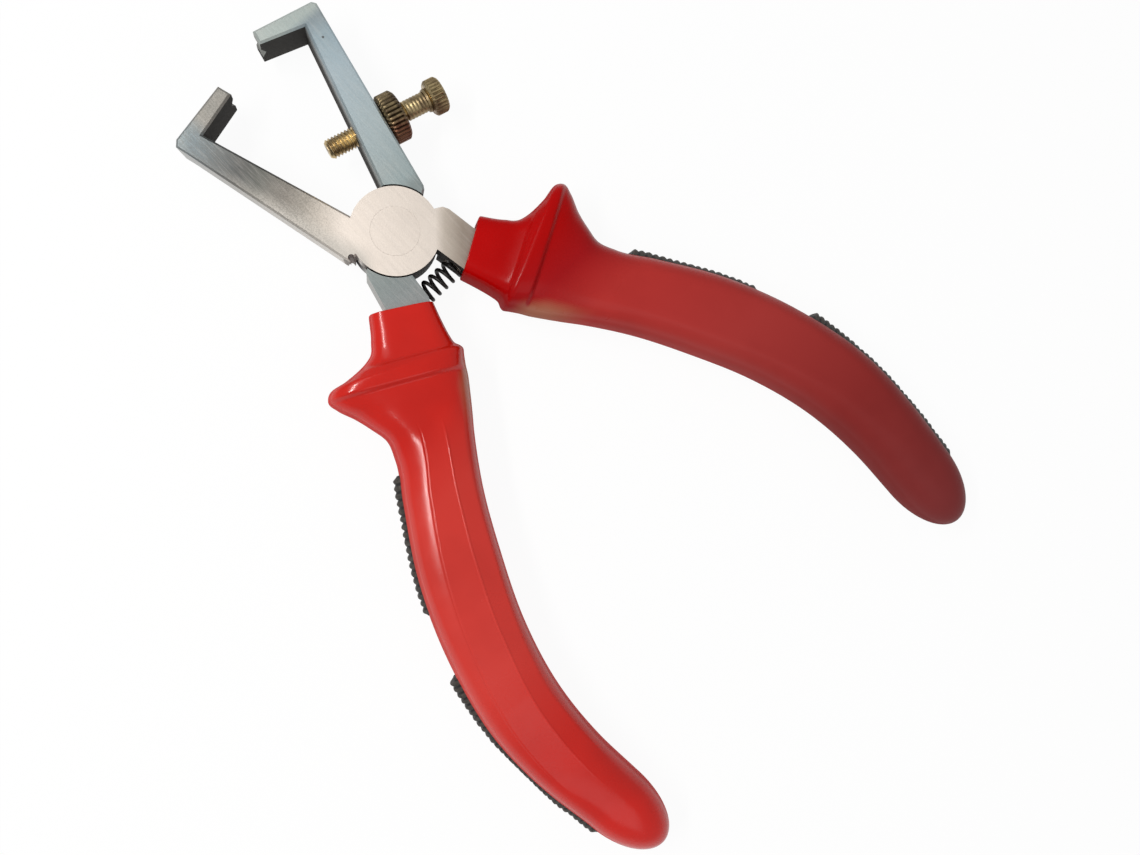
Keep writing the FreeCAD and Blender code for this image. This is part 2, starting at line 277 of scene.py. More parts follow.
def bend(u, power):
    """Angle at which the section's width reaches a share u."""
    return np.arccos(np.sign(u) * np.abs(u) ** power)


def columns(outer, inner, half_width, square):
    """Angles round each section, with columns that follow both panel borders and crowd beside them.
    The counts are of columns between the stops, and the last goes round the back."""
    power = square / 2
    edge = CREASE / half_width
    stops = [np.zeros_like(outer)]
    stops += [bend(outer + edge, power), bend(outer, power), bend(outer - edge, power)]
    stops += [bend(inner + edge, power), bend(inner, power), bend(inner - edge, power)]
    stops += [np.full_like(outer, np.pi), np.full_like(outer, 2 * np.pi)]
    counts = (26, 3, 3, 20, 3, 3, 26, 76)
    parts = [a[:, None] + (b - a)[:, None] * (np.arange(n) / n)
             for a, b, n in zip(stops, stops[1:], counts)]
    return np.concatenate(parts, 1)


def grip_shell(name, side, finish, with_panel):
    """Moulded sleeve.  Two parameters: run along the handle and an angle round the section.
    Each section is |u|^p + |w / thickness|^p = 1, held down to the flat height.  The guard's band
    stands up in front of its line, and the left sleeve's panel is flat between two creases."""
    run, rows = grip_sections(side)
    inner, outer, thick, square = rows[:, 0:2], rows[:, 2:4], rows[:, 4:5], rows[:, 5:6]
    half = (outer - inner) / 2
    centre = (inner + outer) / 2
    half_width = np.hypot(half[:, 0], half[:, 1])[:, None]
    to_outer = np.interp(run, PANEL_RUNS, PANEL_OUTER)[:, None]
    to_inner = np.interp(run, PANEL_RUNS, PANEL_INNER)[:, None]
    narrowest = 2.2
    angle = columns(to_outer[:, 0], to_inner[:, 0], np.maximum(half_width[:, 0], narrowest), square[:, 0])
    c, s = np.cos(angle), np.sin(angle)
    u = np.sign(c) * np.abs(c) ** (2 / square)
    full = np.abs(s) ** (2 / square) * thick
    x = centre[:, 0:1] + half[:, 0:1] * u
    y = centre[:, 1:2] + half[:, 1:2] * u
    level = PANEL_Z + MOUTH_EXTRA * (1 - ramp(run, *MOUTH_FADE))[:, None]
    over = full - level
    eased = np.where(over > FLAT_SOFT, 0, (FLAT_SOFT - over) ** 2 / (4 * FLAT_SOFT))
    height = np.where(over < -FLAT_SOFT, full, level - eased)
    gap = from_segment(x, y, BAND_START, BAND_STOP)
    to_rear = np.sin(np.clip(1 - gap / BAND_WIDTH, 0, 1) * np.pi / 2)
    rise = BAND_FRONT + (BAND_REAR - BAND_FRONT) * to_rear
    band = ramp(-gap, -BAND_WIDTH, BAND_FRONT_FOOT - BAND_WIDTH) * (1 - ramp(-gap, *BAND_REAR_FOOT))
    height = height + rise * band * ramp(full / np.maximum(thick, 0.1), *BAND_SHOULDER)
    if with_panel:
        def at(place):
            return (1 - np.abs(place) ** square) ** (1 / square) * thick
        flat = np.minimum(np.minimum(at(to_outer), at(to_inner)), PANEL_Z)
        from_outer = (u - to_outer) * half_width
        from_inner = (u - to_inner) * half_width
        past_outer = np.maximum(from_outer, 0)
        past_inner = np.maximum(-from_inner, 0)
        fall = ROUND_SLOPE * past_outer + ROUND_BEND * past_outer ** 2 + PANEL_SLOPE * past_inner
        faced = np.minimum(full, flat + PANEL_PROUD - fall)
        groove = GROOVE_DEPTH * np.exp(-(from_outer / GROOVE_WIDTH) ** 2)
        lip = LIP_HEIGHT * np.exp(-(from_inner / LIP_WIDTH) ** 2)
        in_front = s > 0.05
        shown = (ramp(run, *PANEL_APPEAR) * (1 - ramp(run, *PANEL_FADE)))[:, None] * in_front
        height = height + shown * (faced - groove + lip - height)
    z = MID_Z + np.sign(s) * height
    points = np.stack([x * side, y, z], -1)
    mouth = points[0].copy()
    middle = mouth.mean(0)
    inward = MOUTH_INWARD * (side, 1, 1)
    rings = [middle + (mouth - middle) * share + inward * depth for share, depth in MOUTH_RINGS]
    points[0] = mouth + inward * MOUTH_EDGE
    points = np.concatenate([np.stack(rings), points])
    around = points.shape[1]
    count = len(points) * around
    end = [side * DOME_END[0], DOME_END[1], MID_Z]
    flat_points = np.concatenate([points.reshape(-1, 3), [middle + inward * MOUTH_MIDDLE, end]])
    faces = list(grid_faces(len(points), around))
    faces += list(fan_faces(np.arange(around), count, True))
    faces += list(fan_faces(np.arange(count - around, count), count + 1))
    body = "front_body" if side > 0 else "back_body"
    node = ("right" if side > 0 else "left") + "_grip"
    return piece(name, flat_points, faces, body, finish, node, 60)


def pad_strip(word, side, place, finish):
    """Ribbed insert.  Two parameters: run along the grip's outer edge and a loop across it, which
    follows the grip's own section and stands out by a rounded rib wave, then returns inside."""
    rows = grip_sections(side)[1]
    edge = rows[:, 2:4]
    arc = np.concatenate([[0], np.cumsum(np.hypot(*np.diff(edge, axis=0).T))])
    behind_guard = 120
    from_ends = [np.hypot(*(edge[behind_guard:] - end).T) for end in PAD_ENDS[place]]
    first, last = (arc[behind_guard + distance.argmin()] for distance in from_ends)
    ribs = PAD_RIBS[place]
    per_rib = 10
    count = ribs * per_rib + 1
    run = np.linspace(first, last, count)
    rows = np.stack([np.interp(run, arc, rows[:, k]) for k in range(6)], 1)
    inner, outer, thick, square = rows[:, 0:2], rows[:, 2:4], rows[:, 4:5], rows[:, 5:6]
    direction = outer - inner
    width = np.hypot(direction[:, 0], direction[:, 1])[:, None] / 2
    direction = direction / (2 * width)
    phase = np.arange(count) / per_rib
    rng = np.random.default_rng(7)
    uneven_shape, uneven_depth, bluntness = 0.12, 0.2, 0.7
    rib = np.minimum(phase.astype(int), ribs - 1)
    wander = uneven_shape * rng.standard_normal(ribs)[rib] * np.sin(np.pi * (phase % 1)) ** 2
    tooth = np.clip(0.5 - 0.5 * np.cos(2 * np.pi * phase) + wander, 0, 1) ** bluntness
    depth = PAD_GROOVE * (1 + uneven_depth * rng.standard_normal(ribs)[rib])
    stand = PAD_STEP + PAD_SWELL[word][place] * np.clip(1 - (run - first) / PAD_SWELL_LENGTH, 0, 1)
    ends = ramp(phase, 0, 0.5) * ramp(ribs - phase, 0, 0.5)
    thinnest = 0.12
    proud = (np.maximum(stand - depth * (1 - tooth), thinnest) * (0.5 + 0.5 * ends))[:, None]
    across = np.linspace(-1, 1, 21)
    lift = 1 - np.abs(across) ** 4
    tuck, inside = 0.2, 1.3
    out = np.concatenate([proud * lift - tuck * (1 - lift), np.full((count, 5), -inside)], 1)
    offset = np.concatenate([across, np.linspace(1, -1, 7)[1:-1]]) * PAD_HALF_HEIGHT[word]
    rise = (1 - np.clip(np.abs(offset)[None, :] / thick, 0, 1) ** square) ** (1 / square)
    reach = width * rise + out
    centre = (inner + outer) / 2
    x = np.minimum(centre[:, 0:1] + direction[:, 0:1] * reach, PAD_LIMIT) * side
    y = centre[:, 1:2] + direction[:, 1:2] * reach
    z = np.broadcast_to(MID_Z + offset[None, :], x.shape)
    loop = x.shape[1]
    points = np.stack([x, y, z], -1).reshape(-1, 3)
    total = len(points)
    points = np.concatenate([points, [points[:loop].mean(0)], [points[-loop:].mean(0)]])
    faces = list(grid_faces(count, loop))
    faces += list(fan_faces(np.arange(loop), total, True))
    faces += list(fan_faces(np.arange(total - loop, total), total + 1))
    body = "front_body" if side > 0 else "back_body"
    # Groove depth, which the rubber's material turns into painted shade between the ribs
    groove = np.concatenate([np.repeat(1 - tooth, loop), [1, 1]])
    name = word + "_" + place
    return piece(name + "_ribs", points, faces, body, finish, name + "_pad", 50, groove)


# Adjusting screw: its lean, its threaded end, its axis from there to the head, and the way across
SCREW_ANGLE = math.radians(14.4)
SCREW_END = np.array([2.05, 19.95, MID_Z])
SCREW_AXIS = np.array([math.cos(SCREW_ANGLE), -math.sin(SCREW_ANGLE), 0.0])
SCREW_SIDE = np.array([math.sin(SCREW_ANGLE), math.cos(SCREW_ANGLE), 0.0])
UP = np.array([0.0, 0.0, 1.0])


def on_screw(distance, radius, angle):
    """Points at a distance along the screw's axis, a radius and an angle round it."""
    side = (radius * np.cos(angle))[..., None] * SCREW_SIDE
    up = (radius * np.sin(angle))[..., None] * UP
    return SCREW_END + distance[..., None] * SCREW_AXIS + side + up


def thumb_screw(finish):
    """Turned screw.  Radius is a function of length and angle: a rounded thread wave on the shank,
    shallower on the neck, then a collar, and a head whose rim is cut by straight grooves."""
    length, head, collar = 24.7, 2.9, 0.8
    crest, pitch, thread_depth, end_chamfer = 1.97, 0.7, 0.34, 0.45
    collar_radius, collar_round = 2.35, 0.15
    knob_radius, knob_chamfer, ridges, ridge_depth = 3.5, 0.45, 28, 0.36
    neck_run = (16.2, 16.9)
    around = ridges * 7
    knob_start = length - head
    collar_start = knob_start - collar
    s = np.concatenate([
        np.linspace(0, collar_start, 460),
        collar_start + np.array([0.001, 0.12, 0.4, 0.68, 0.8]),
        knob_start + np.array([0.001, 0.1, 0.45, 0.5, 1.4, 2.3, 2.4, 2.7, 2.82, 2.9]),
    ])
    angle = 2 * np.pi * np.arange(around) / around
    S, A = np.meshgrid(s, angle, indexing="ij")
    wave = np.abs(((S / pitch - A / (2 * np.pi)) % 1.0) - 0.5) * 2
    wave = np.clip(wave * 1.2 - 0.1, 0, 1)
    neck = ramp(S, *neck_run)
    threaded = ramp(S, 0.0, 0.9) * (1 - 0.75 * neck)
    shank = crest - thread_depth * wave * threaded - end_chamfer * (1 - ramp(S, 0, 0.55))
    ring = collar_radius - collar_round * np.abs(S - (knob_start - collar / 2)) / (collar / 2)
    groove = (0.5 + 0.5 * np.cos(ridges * A)) ** 0.6
    rim = S - knob_start
    knob = np.minimum(knob_radius, knob_radius - knob_chamfer + np.minimum(rim, head - rim))
    full_rim = ramp(rim, 0.35, 0.55) * (1 - ramp(rim, 2.35, 2.55))
    knob = knob - ridge_depth * (1 - groove) * (0.3 + 0.7 * full_rim)
    r = np.where(S > knob_start, knob, np.where(S > collar_start, ring, shank))
    # How much the material darkens: painted shade in the thread and knurl grooves, a darker head and a
    # darker neck
    cut = np.where(S > knob_start, 0.6 + 0.4 * (1 - groove) * full_rim, 0.12 * wave * threaded)
    cut = cut + 0.74 * neck * (S < knob_start)
    depth = np.concatenate([np.clip(cut, 0, 1).ravel(), [0, 0]])
    points = on_screw(S, r, A).reshape(-1, 3)
    total = len(points)
    ends = on_screw(np.array([0.0, length - 0.12]), np.zeros(2), np.zeros(2))
    faces = list(grid_faces(len(s), around))
    faces += list(fan_faces(np.arange(around), total, True))
    faces += list(fan_faces(np.arange(total - around, total), total + 1))
    points = np.concatenate([points, ends])
    return piece("thumb_screw", points, faces, "screw_body", finish, "adjusting_screw",
                 40, depth)


def knurled_nut(finish):
    """Ring swept by a closed profile of lengths and radii: a rim with chamfers, a ring groove in the
    face towards the head, and a bore.  Its rim is cut by straight grooves that run out on the
    chamfers."""
    from_end, rim, bore = 12.0, 4.9, 2.02
    profile = np.array([
        (0, bore), (0, 3.4), (0.06, 4.3), (0.45, 4.75), (0.6, rim), (1.2, rim), (1.9, rim), (2.6, rim),
        (3.2, rim), (3.35, 4.78), (3.74, 4.3), (3.8, 4.1), (3.62, 3.9), (3.62, 3.1), (3.8, 2.9),
        (3.8, 2.4), (3.6, bore), (1.9, bore),
    ])
    ridges, ridge_depth = 34, 0.34
    around = ridges * 8
    angle = 2 * np.pi * np.arange(around) / around
    S, A = np.meshgrid(profile[:, 0], angle, indexing="ij")
    R = np.repeat(profile[:, 1:2], around, 1)
    groove = np.clip(1.15 * (0.5 + 0.5 * np.cos(ridges * A)) ** 0.6, 0, 1)
    # The knurl's groove depth, which the material also turns into painted shade in the grooves
    depth = (1 - groove) * ramp(R, 4.35, 4.85)
    R = R - ridge_depth * depth
    points = on_screw(from_end + S, R, A).reshape(-1, 3)
    faces = list(grid_faces(len(profile), around, wrap_rows=True))
    return piece("knurled_nut", points, faces, "nut_body", finish, "lock_nut", 40, depth)


def coil(finish):
    """Spring wire: a circle carried along a helix that lies across the gap between the shanks, and
    whose pitch closes up over the first and last turn."""
    turns, radius, wire_radius, y = 6.4, 1.82, 0.38, -11.9
    start_x, length = -4.6, 9.55
    along_wire = np.linspace(0, 1, 420)
    closing = np.minimum(along_wire * turns, (1 - along_wire) * turns)
    pitch = 0.72 + 0.95 * ramp(closing, 0.4, 1.3)
    x = np.concatenate([[0], np.cumsum((pitch[1:] + pitch[:-1]) / 2)])
    x = start_x + length * x / x[-1]
    a = 2 * np.pi * turns * along_wire + math.radians(60)
    line = np.stack([x, y + radius * np.cos(a), MID_Z + radius * np.sin(a)], -1)
    tangent = np.gradient(line, axis=0)
    tangent /= np.linalg.norm(tangent, axis=1)[:, None]
    radial = np.stack([0 * x, np.cos(a), np.sin(a)], -1)
    third = np.cross(tangent, radial)
    sides = 12
    ring = (2 * np.pi * np.arange(sides) / sides)[None, :, None]
    circle = np.cos(ring) * radial[:, None, :] + np.sin(ring) * third[:, None, :]
    points = (line[:, None, :] + wire_radius * circle).reshape(-1, 3)
    total = len(points)
    faces = list(grid_faces(len(x), sides))
    faces += list(fan_faces(np.arange(sides), total, True))
    faces += list(fan_faces(np.arange(total - sides, total), total + 1))
    points = np.concatenate([points, line[[0, -1]]])
    spring = piece("coil_spring", points, faces, None, finish, "return_spring", 60)
    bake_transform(spring)
    return spring


class Finish:
    """A node material under construction: short calls that add a node and return its output."""

    def __init__(self, name):
        self.material = bpy.data.materials.new(name)
        self.material.use_nodes = True
        self.tree = self.material.node_tree
        self.shader = self.tree.nodes["Principled BSDF"]
        self.place = self.tree.nodes.new("ShaderNodeTexCoord").outputs["Object"]

    def node(self, kind, **values):
        made = self.tree.nodes.new(kind)
        for key, value in values.items():
            setattr(made, key, value)
        return made

    def join(self, source, target):
        self.tree.links.new(source, target)

    def mapped(self, scale, turn=0.0):
        made = self.node("ShaderNodeMapping")
        made.inputs["Rotation"].default_value = (0, 0, turn)
        made.inputs["Scale"].default_value = scale
        self.join(self.place, made.inputs["Vector"])
        return made.outputs["Vector"]

    def noise(self, scale, detail=3.0, stretch=(1, 1, 1), turn=0.0):
        """Noise with its scale and stretch as cycles per metre."""
        made = self.node("ShaderNodeTexNoise")
        made.inputs["Scale"].default_value = scale
        made.inputs["Detail"].default_value = detail
        self.join(self.mapped(stretch, turn), made.inputs["Vector"])
        return made.outputs["Fac"]

    def spread(self, value, low, high, to_low=0.0, to_high=1.0):
        """Smooth change from one value to another, as a value goes from low to high."""
        made = self.node("ShaderNodeMapRange", interpolation_type="SMOOTHSTEP")
        limits = {"From Min": low, "From Max": high, "To Min": to_low, "To Max": to_high}
        for key, number in limits.items():
            made.inputs[key].default_value = number
        self.join(value, made.inputs["Value"])
        return made.outputs["Result"]

    def maths(self, operation, a, b=0.0):
        made = self.node("ShaderNodeMath", operation=operation)
        for k, value in enumerate((a, b)):
            if isinstance(value, (int, float)):
                made.inputs[k].default_value = float(value)
            else:
                self.join(value, made.inputs[k])
        return made.outputs[0]

    def mix(self, share, a, b):
        made = self.node("ShaderNodeMix", data_type="RGBA")
        for key, value in ((0, share), (6, a), (7, b)):
            if isinstance(value, tuple):
                made.inputs[key].default_value = value + (1.0,)
            elif isinstance(value, (int, float)):
                made.inputs[key].default_value = value
            else:
                self.join(value, made.inputs[key])
        return made.outputs[2]

    def stops(self, value, places):
        """Colours at places along a value in metres, given in millimetres."""
        low, high = places[0][0], places[-1][0]
        made = self.node("ShaderNodeValToRGB")
        share = self.node("ShaderNodeMapRange")
        for key, number in (("From Min", low * MM), ("From Max", high * MM)):
            share.inputs[key].default_value = number
        self.join(value, share.inputs["Value"])
        self.join(share.outputs["Result"], made.inputs["Fac"])
        marks = made.color_ramp.elements
        while len(marks) < len(places):
            marks.new(0.5)
        for mark, (place, colour) in zip(marks, places):
            mark.position = (place - low) / (high - low)
            mark.color = colour + (1.0,)
        return made.outputs["Color"]

    def axis(self, which):
        """One coordinate of the place on the piece, in metres."""
        made = self.node("ShaderNodeSeparateXYZ")
        self.join(self.place, made.inputs[0])
        return made.outputs[which]

    def normal(self, which):
        """One part of the way the face points."""
        shape = self.node("ShaderNodeNewGeometry")
        made = self.node("ShaderNodeSeparateXYZ")
        self.join(shape.outputs["True Normal"], made.inputs[0])
        return made.outputs[which]

    def away(self, x, y):
        """Distance in plan from a point."""
        dx = self.maths("SUBTRACT", self.axis(0), x)
        dy = self.maths("SUBTRACT", self.axis(1), y)
        squares = self.maths("ADD", self.maths("MULTIPLY", dx, dx), self.maths("MULTIPLY", dy, dy))
        return self.maths("SQRT", squares)

    def facing_up(self):
        """1 on faces that lie level, 0 on walls."""
        return self.maths("ABSOLUTE", self.normal(2))

    def bump(self, height, strength, distance):
        made = self.node("ShaderNodeBump")
        made.inputs["Strength"].default_value = strength
        made.inputs["Distance"].default_value = distance
        self.join(height, made.inputs["Height"])
        self.join(made.outputs["Normal"], self.shader.inputs["Normal"])

    def set(self, **values):
        for key, value in values.items():
            target = self.shader.inputs[key.replace("_", " ")]
            if isinstance(value, tuple):
                target.default_value = value + (1.0,)
            elif isinstance(value, (int, float)):
                target.default_value = value
            else:
                self.join(value, target)


# Ground face of the joint, and the near-black of the painted shade on walls
LAP_COLOUR = (0.80, 0.715, 0.64)
PAINTED_SHADE_COLOUR = (0.028, 0.025, 0.022)


def ground_steel(name, regions, speckle, painted_shade_walls):
    """Satin steel with grinding lines along the tool, tinted by region, and painted shade on some
    sides.  Its walls are a little paler than its faces where they aren't dark, as a painted reflection."""
    f = Finish(name)
    lean = 0.02
    lines = f.noise(1.0, 4.0, (2600, 110, 2600), lean)
    fine = f.noise(1.0, 2.0, (6500, 260, 6500), lean)
    cloud = f.noise(130, 4.0)
    grain = f.noise(5200, 3.0)
    colour = regions(f)
    colour = f.mix(f.spread(lines, 0.35, 0.65, 0.0, 0.11), colour, (0.30, 0.27, 0.24))
    colour = f.mix(f.spread(fine, 0.45, 0.7, 0.0, 0.08), colour, (0.92, 0.88, 0.84))
    speckled = f.maths("MULTIPLY", f.spread(grain, 0.42, 0.62), speckle(f))
    colour = f.mix(speckled, colour, (0.12, 0.115, 0.105))
    colour = f.mix(f.spread(cloud, 0.4, 0.75, 0.0, 0.15), colour, (0.50, 0.45, 0.40))
    wall = f.spread(f.facing_up(), 0.25, 0.6, 1.0, 0.0)
    # Painted reflection: walls paled towards cream
    colour = f.mix(f.maths("MULTIPLY", wall, 0.32), colour, (0.80, 0.77, 0.72))
    # Painted shade: the walls picked by the shade function go near black, less metallic and rougher
    dark = f.maths("MULTIPLY", wall, painted_shade_walls(f))
    colour = f.mix(dark, colour, PAINTED_SHADE_COLOUR)
    rough = f.maths("ADD", f.spread(lines, 0.3, 0.7, 0.39, 0.48), f.maths("MULTIPLY", dark, 0.3))
    metallic = f.spread(dark, 0.0, 1.0, 0.85, 0.0)
    f.set(Base_Color=colour, Metallic=metallic, Roughness=rough, Specular_IOR_Level=0.12)
    f.bump(f.maths("ADD", lines, f.maths("MULTIPLY", grain, 0.5)), 0.14, 0.00004)
    return f.material


def front_regions(f):
    """Cream lap, a browner shank, and a jaw that darkens along its length and pales again at its tip,
    with a painted reflection that pales it along its outer edge, most near the joint."""
    x, y = f.axis(0), f.axis(1)
    below = f.stops(f.maths("SUBTRACT", x, y), (
        (10.5, LAP_COLOUR), (13.0, (0.55, 0.48, 0.41)), (17.6, (0.345, 0.285, 0.235)),
        (22.0, (0.29, 0.24, 0.20)),
    ))
    reach = f.away(0.0, 0.0)
    jaw = f.stops(reach, (
        (9.5, LAP_COLOUR), (13.0, (0.60, 0.54, 0.475)), (17.0, (0.34, 0.31, 0.27)),
        (20.7, (0.215, 0.197, 0.174)), (25.7, (0.115, 0.118, 0.107)), (29.7, (0.085, 0.088, 0.087)),
        (34.0, (0.12, 0.132, 0.135)), (39.0, (0.165, 0.20, 0.215)), (42.0, (0.25, 0.285, 0.29)),
    ))
    hook = f.mix(f.spread(x, -0.0145, -0.011), jaw, (0.255, 0.245, 0.222))
    jaw = f.mix(f.spread(y, 0.0335, 0.0365), jaw, hook)
    to_outside = (-0.9502, -0.3116)
    across = f.maths("ADD", f.maths("MULTIPLY", x, to_outside[0]), f.maths("MULTIPLY", y, to_outside[1]))
    # Painted reflection: the jaw paled along its outer edge, most near the joint
    along_jaw = f.spread(reach, 0.020, 0.036, 0.85, 0.25)
    outer = f.maths("MULTIPLY", f.spread(across, 0.0045, 0.0082), along_jaw)
    jaw = f.mix(outer, jaw, (0.52, 0.49, 0.445))
    is_jaw = f.spread(f.maths("SUBTRACT", y, x), 0.004, 0.009)
    return f.mix(is_jaw, below, jaw)


def front_speckle(f):
    """More speckle on the jaw than on the lap."""
    return f.spread(f.maths("SUBTRACT", f.axis(1), f.axis(0)), 0.010, 0.026, 0.05, 0.42)


def front_painted_shade(f):
    """Painted shade on walls: those that face the jaw gap, and all below the joint.  It is lighter in
    the notch where the jaw's outer side meets the lap."""
    to_gap = f.spread(f.maths("SUBTRACT", f.normal(0), f.normal(1)), -0.2, 0.3)
    below = f.spread(f.axis(1), -0.0015, 0.001, 1.0, 0.0)
    notch = f.spread(f.away(-0.00935, 0.00185), 0.0012, 0.0017, 1.0, 0.0)
    return f.mix(notch, f.maths("MAXIMUM", to_gap, below), (0.6, 0.6, 0.6))


def back_regions(f):
    """Blue-grey arm, darker towards its hook, a greener grey shank, and a small dark spot on the arm."""
    x, y = f.axis(0), f.axis(1)
    arm = f.stops(y, (
        (-13.0, (0.28, 0.30, 0.305)), (-6.0, (0.235, 0.272, 0.27)), (4.0, (0.26, 0.305, 0.305)),
        (6.0, (0.335, 0.405, 0.41)), (18.0, (0.40, 0.475, 0.495)), (29.0, (0.385, 0.48, 0.53)),
        (35.5, (0.325, 0.41, 0.45)), (38.3, (0.255, 0.315, 0.345)), (39.8, (0.41, 0.47, 0.45)),
        (43.0, (0.41, 0.46, 0.44)),
    ))
    spot = f.spread(f.away(0.01528, 0.0346), 0.00018, 0.0003, 0.8, 0.0)
    return f.mix(spot, arm, (0.02, 0.02, 0.022))


def back_speckle(f):
    """A little more speckle on the shank than on the arm."""
    return f.spread(f.axis(1), -0.012, 0.006, 0.22, 0.1)


def back_painted_shade(f):
    """Painted shade on walls: those that face the jaw gap, less of it near the front face, and the
    shank's inner side."""
    across = f.spread(f.normal(0), -0.9, -0.5, 1.0, 0.0)
    across = f.maths("MULTIPLY", across, f.spread(f.axis(2), 0.004, 0.009, 1.0, 0.4))
    to_gap = f.maths("MAXIMUM", f.spread(f.normal(1), -0.8, -0.4, 0.97, 0.0), across)
    below = f.spread(f.axis(1), -0.0015, 0.001, 1.0, 0.0)
    inner = f.spread(f.normal(0), -0.85, -0.4, 0.15, 1.0)
    return f.mix(below, to_gap, inner)


def rivet_regions(f):
    """The lap's cream, a touch greyer to one side."""
    return f.mix(f.spread(f.axis(0), -0.004, 0.004), LAP_COLOUR, (0.79, 0.705, 0.63))


def rivet_speckle(f):
    """Hardly any speckle, as on the lap round it."""
    return f.spread(f.axis(1), -0.004, 0.004, 0.04, 0.06)


def rivet_painted_shade(f):
    """Painted shade on all of its walls."""
    return f.spread(f.facing_up(), 0.0, 1.0, 1.0, 0.9)


def moulded_red(name, side, colours, roughness, sheen):
    """Moulded plastic, its colour changing along the handle, with a fine skin, cloudy wear and rubs,
    duller walls, and a painted tan reflection behind the guard on the wall that faces the other grip.
    The roughness is a low, a high and what the handle's end adds."""
    f = Finish(name)
    peel = f.noise(1500, 2.0)
    cloud = f.noise(60, 3.0)
    rubs = f.noise(210, 3.0)
    along_handle = f.maths("MULTIPLY", f.axis(1), -1.0)
    colour = f.stops(along_handle, colours)
    darker = f.node("ShaderNodeMix", data_type="RGBA", blend_type="MULTIPLY")
    darker.inputs[7].default_value = (0.78, 0.7, 0.7, 1.0)
    f.join(f.spread(cloud, 0.4, 0.75, 0.0, 0.5), darker.inputs[0])
    f.join(colour, darker.inputs[6])
    # Painted reflection: a tan patch on the wall that faces the other grip, just behind the guard
    inner_wall = f.spread(f.maths("MULTIPLY", f.normal(0), -side), 0.42, 0.78, 0.0, 0.72)
    behind_guard = f.spread(along_handle, 0.0245, 0.028)
    behind_guard = f.maths("MULTIPLY", behind_guard, f.spread(along_handle, 0.029, 0.038, 1.0, 0.0))
    tarnish_and_painted_reflection = f.maths("MULTIPLY", inner_wall, behind_guard)
    colour = f.mix(tarnish_and_painted_reflection, darker.outputs[2], (0.42, 0.20, 0.115))
    rough = f.spread(rubs, 0.3, 0.75, roughness[0], roughness[1])
    dulling = f.spread(along_handle, 0.02, 0.085, 0.0, roughness[2])
    dull_wall = f.spread(f.facing_up(), 0.2, 0.6, 0.7, 0.0)
    rough = f.maths("MAXIMUM", f.maths("ADD", rough, dulling), dull_wall)
    f.set(Base_Color=colour, Roughness=rough, Specular_IOR_Level=sheen)
    f.bump(peel, 0.13, 0.00006)
    return f.material


def black_rubber():
    """Matt rubber, dusty on its ribs, with painted shade that makes it black between them."""
    f = Finish("black_rubber")
    dust = f.noise(1400, 4.0)
    grit = f.noise(2600, 2.0)
    cut = f.node("ShaderNodeAttribute", attribute_name="depth").outputs["Fac"]
    colour = f.mix(f.spread(dust, 0.35, 0.75), (0.030, 0.026, 0.022), (0.075, 0.066, 0.058))
    # Painted shade: black in the grooves between the ribs
    colour = f.mix(f.spread(cut, 0.25, 0.9), colour, (0.006, 0.005, 0.005))
    f.set(Base_Color=colour, Roughness=f.spread(dust, 0.3, 0.7, 0.5, 0.8), Specular_IOR_Level=0.35)
    f.bump(grit, 0.4, 0.00008)
    return f.material


def tarnished_brass(name, bright, dark, marks):
    """Brass with fine turning marks, brown where it has tarnished, with painted shade that makes its
    lower side redder and darker, and darkening by depth: painted shade in its grooves, and a darker
    head and neck on the screw."""
    f = Finish(name)
    tarnish_and_painted_reflection = f.noise(420, 4.0)
    turning = f.noise(1.0, 2.0, (marks, 300, 300), SCREW_ANGLE)
    colour = f.mix(f.spread(tarnish_and_painted_reflection, 0.35, 0.68), bright, dark)
    cut = f.node("ShaderNodeAttribute", attribute_name="depth").outputs["Fac"]
    across = [f.maths("MULTIPLY", f.axis(k), SCREW_SIDE[k]) for k in (0, 1)]
    # Painted shade: the lower side redder and darker
    low_side = f.spread(f.maths("ADD", *across), 0.0155, 0.0195, 0.8, 0.0)
    colour = f.mix(low_side, colour, (0.16, 0.06, 0.035))
    # Darker by depth: painted shade in the grooves, and on the screw a darker head and neck
    colour = f.mix(f.maths("MULTIPLY", cut, 0.72), colour, tuple(0.12 * v for v in dark))
    f.set(Base_Color=colour, Metallic=1.0, Roughness=f.spread(turning, 0.3, 0.7, 0.36, 0.48))
    f.bump(turning, 0.08, 0.00002)
    return f.material


def black_wire():
    """Blackened spring wire with drawing lines."""
    f = Finish("black_wire")
    lines = f.noise(1500, 3.0)
    f.set(Base_Color=f.mix(f.spread(lines, 0.4, 0.7), (0.010, 0.009, 0.009), (0.035, 0.032, 0.03)),
          Metallic=0.7, Roughness=f.spread(lines, 0.3, 0.7, 0.35, 0.55))
    f.bump(lines, 0.2, 0.00003)
    return f.material


steel_front = ground_steel("ground_steel_front", front_regions, front_speckle, front_painted_shade)
steel_back = ground_steel("ground_steel_back", back_regions, back_speckle, back_painted_shade)
steel_rivet = ground_steel("ground_steel_rivet", rivet_regions, rivet_speckle, rivet_painted_shade)
red_left = moulded_red("moulded_red_left", -1, (
    (10.0, (0.56, 0.012, 0.006)), (30.0, (0.54, 0.012, 0.006)), (42.0, (0.57, 0.034, 0.024)),
    (72.0, (0.59, 0.038, 0.028)), (90.0, (0.55, 0.016, 0.010)), (120.0, (0.60, 0.014, 0.009)),
), (0.16, 0.25, 0.05), 0.28)
